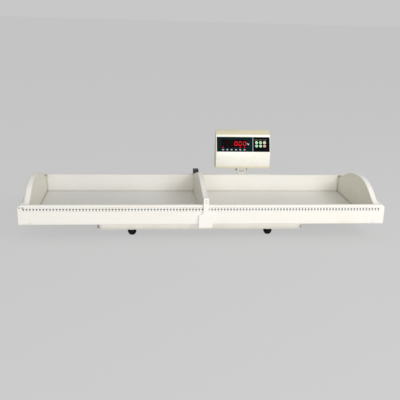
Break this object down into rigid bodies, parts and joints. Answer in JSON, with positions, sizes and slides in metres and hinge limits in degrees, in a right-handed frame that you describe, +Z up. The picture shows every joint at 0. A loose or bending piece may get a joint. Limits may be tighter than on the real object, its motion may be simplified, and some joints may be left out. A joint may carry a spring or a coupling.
{
  "type": "animal weighing scale",
  "caption": "Long white weighing tray with arched end walls, a sliding length stop and a front ruler, on a load-cell base with levelling feet and a display on a rear post.",
  "frame": {"origin": "on the table plane, under the centre of the bounding box", "axes": "+X along the tray to the right, +Y away from the user towards the display, +Z up"},
  "size_m": [1.16, 0.515, 0.27],
  "materials": {
    "tray_plastic": "satin white moulding",
    "end_plastic": "satin white moulding",
    "stop_plastic": "satin off-white moulding",
    "guide_plastic": "satin white moulding",
    "dark_plastic": "fine-textured black moulding",
    "ruler_film": "printed film, centimetre scale",
    "zinc_steel": "zinc-plated fasteners",
    "carrier_steel": "brushed stainless sheet",
    "cell_alloy": "milled, clear anodised",
    "base_paint": "powder coat, light cream",
    "foot_rubber": "matt black",
    "post_paint": "powder coat, cream",
    "nylon": "natural nylon",
    "neck_plastic": "satin cream moulding",
    "shell_plastic": "semi-gloss cream moulding",
    "cover_plastic": "fine-textured beige moulding",
    "panel_film": "black printed panel",
    "window_smoke": "smoked red window",
    "key_green": "translucent light green",
    "key_cream": "cream yellow",
    "key_pink": "pink red",
    "board_green": "solder-masked board",
    "digit_black": "black digit block",
    "battery_case": "dark grey case",
    "brass": "machined"
  },
  "bodies": {
    "base": {"tray_shell": "tray_plastic", "left_end_wall": "end_plastic", "right_end_wall": "end_plastic", "ruler_strip": "ruler_film", "end_wall_screws": "zinc_steel", "tray_carrier": "carrier_steel", "carrier_pads": "foot_rubber", "tray_screws": "zinc_steel", "load_cell": "cell_alloy", "cell_spacers": "zinc_steel", "cell_bolts": "zinc_steel", "overload_stops": "zinc_steel", "base_pan": "base_paint", "cable_bush": "foot_rubber", "foot_inserts": "brass", "lock_nuts": "zinc_steel", "post_bracket": "post_paint", "bracket_bolts": "zinc_steel", "post_tube": "post_paint", "post_set_screw": "zinc_steel", "swivel_bush": "nylon"},
    "length_stop": {"divider_panel": "stop_plastic", "front_guide": "guide_plastic", "rear_guide": "dark_plastic", "stop_glides": "nylon", "stop_screws": "zinc_steel"},
    "neck": {"swivel_neck": "neck_plastic", "tilt_pin": "zinc_steel", "tilt_nuts": "zinc_steel"},
    "display": {"front_shell": "shell_plastic", "rear_cover": "cover_plastic", "cover_screws": "zinc_steel", "display_panel": "panel_film", "display_window": "window_smoke", "display_board": "board_green", "digit_block": "digit_black", "key_switches": "dark_plastic", "board_screws": "zinc_steel", "board_standoffs": "brass", "main_board": "board_green", "buzzer": "dark_plastic", "battery": "battery_case", "battery_strap": "carrier_steel", "charger_inlet": "dark_plastic", "cable_gland": "dark_plastic"},
    "key_upper_1": {"key_upper_1": "key_green"},
    "key_upper_2": {"key_upper_2": "key_green"},
    "key_upper_3": {"key_upper_3": "key_cream"},
    "key_lower_1": {"key_lower_1": "key_green"},
    "key_lower_2": {"key_lower_2": "key_green"},
    "key_lower_3": {"key_lower_3": "key_pink"},
    "foot_front_left": {"foot_pad_front_left": "foot_rubber"},
    "stud_front_left": {"foot_stud_front_left": "zinc_steel"},
    "foot_front_right": {"foot_pad_front_right": "foot_rubber"},
    "stud_front_right": {"foot_stud_front_right": "zinc_steel"},
    "foot_rear_left": {"foot_pad_rear_left": "foot_rubber"},
    "stud_rear_left": {"foot_stud_rear_left": "zinc_steel"},
    "foot_rear_right": {"foot_pad_rear_right": "foot_rubber"},
    "stud_rear_right": {"foot_stud_rear_right": "zinc_steel"}
  },
  "joints": [
    {"name": "stop_slide", "type": "slide", "parent": "base", "child": "length_stop", "axis": [1, 0, 0], "range_m": [-0.535, 0.535]},
    {"name": "display_swivel", "type": "hinge", "parent": "base", "child": "neck", "pos_m": [0.186, 0.2265, 0.121], "axis": [0, 0, 1], "range_deg": [-20, 20]},
    {"name": "display_tilt", "type": "hinge", "parent": "neck", "child": "display", "pos_m": [0.186, 0.2265, 0.121], "axis": [1, 0, 0], "range_deg": [-12, 12]},
    {"name": "key_upper_1_press", "type": "slide", "parent": "display", "child": "key_upper_1", "axis": [0, 0.9427, -0.3337], "range_m": [0, 0.0008], "stiffness_N_per_m": 1500, "springref_m": -0.0004},
    {"name": "key_upper_2_press", "type": "slide", "parent": "display", "child": "key_upper_2", "axis": [0, 0.9427, -0.3337], "range_m": [0, 0.0008], "stiffness_N_per_m": 1500, "springref_m": -0.0004},
    {"name": "key_upper_3_press", "type": "slide", "parent": "display", "child": "key_upper_3", "axis": [0, 0.9427, -0.3337], "range_m": [0, 0.0008], "stiffness_N_per_m": 1500, "springref_m": -0.0004},
    {"name": "key_lower_1_press", "type": "slide", "parent": "display", "child": "key_lower_1", "axis": [0, 0.9427, -0.3337], "range_m": [0, 0.0008], "stiffness_N_per_m": 1500, "springref_m": -0.0004},
    {"name": "key_lower_2_press", "type": "slide", "parent": "display", "child": "key_lower_2", "axis": [0, 0.9427, -0.3337], "range_m": [0, 0.0008], "stiffness_N_per_m": 1500, "springref_m": -0.0004},
    {"name": "key_lower_3_press", "type": "slide", "parent": "display", "child": "key_lower_3", "axis": [0, 0.9427, -0.3337], "range_m": [0, 0.0008], "stiffness_N_per_m": 1500, "springref_m": -0.0004},
    {"name": "foot_front_left_level", "type": "slide", "parent": "base", "child": "foot_front_left", "axis": [0, 0, 1], "range_m": [-0.008, 0]},
    {"name": "stud_front_left_turn", "type": "hinge", "parent": "foot_front_left", "child": "stud_front_left", "pos_m": [-0.232, -0.1765, 0], "axis": [0, 0, 1], "range_deg": [-2304.1, 0]},
    {"name": "foot_front_right_level", "type": "slide", "parent": "base", "child": "foot_front_right", "axis": [0, 0, 1], "range_m": [-0.008, 0]},
    {"name": "stud_front_right_turn", "type": "hinge", "parent": "foot_front_right", "child": "stud_front_right", "pos_m": [0.216, -0.1765, 0], "axis": [0, 0, 1], "range_deg": [-2304.1, 0]},
    {"name": "foot_rear_left_level", "type": "slide", "parent": "base", "child": "foot_rear_left", "axis": [0, 0, 1], "range_m": [-0.008, 0]},
    {"name": "stud_rear_left_turn", "type": "hinge", "parent": "foot_rear_left", "child": "stud_rear_left", "pos_m": [-0.232, 0.0735, 0], "axis": [0, 0, 1], "range_deg": [-2304.1, 0]},
    {"name": "foot_rear_right_level", "type": "slide", "parent": "base", "child": "foot_rear_right", "axis": [0, 0, 1], "range_m": [-0.008, 0]},
    {"name": "stud_rear_right_turn", "type": "hinge", "parent": "foot_rear_right", "child": "stud_rear_right", "pos_m": [0.216, 0.0735, 0], "axis": [0, 0, 1], "range_deg": [-2304.1, 0]}
  ],
  "couplings": [
    {"joint": "stud_front_left_turn", "follows": "foot_front_left_level", "rad_per_m": 5026.5},
    {"joint": "stud_front_right_turn", "follows": "foot_front_right_level", "rad_per_m": 5026.5},
    {"joint": "stud_rear_left_turn", "follows": "foot_rear_left_level", "rad_per_m": 5026.5},
    {"joint": "stud_rear_right_turn", "follows": "foot_rear_right_level", "rad_per_m": 5026.5}
  ]
}
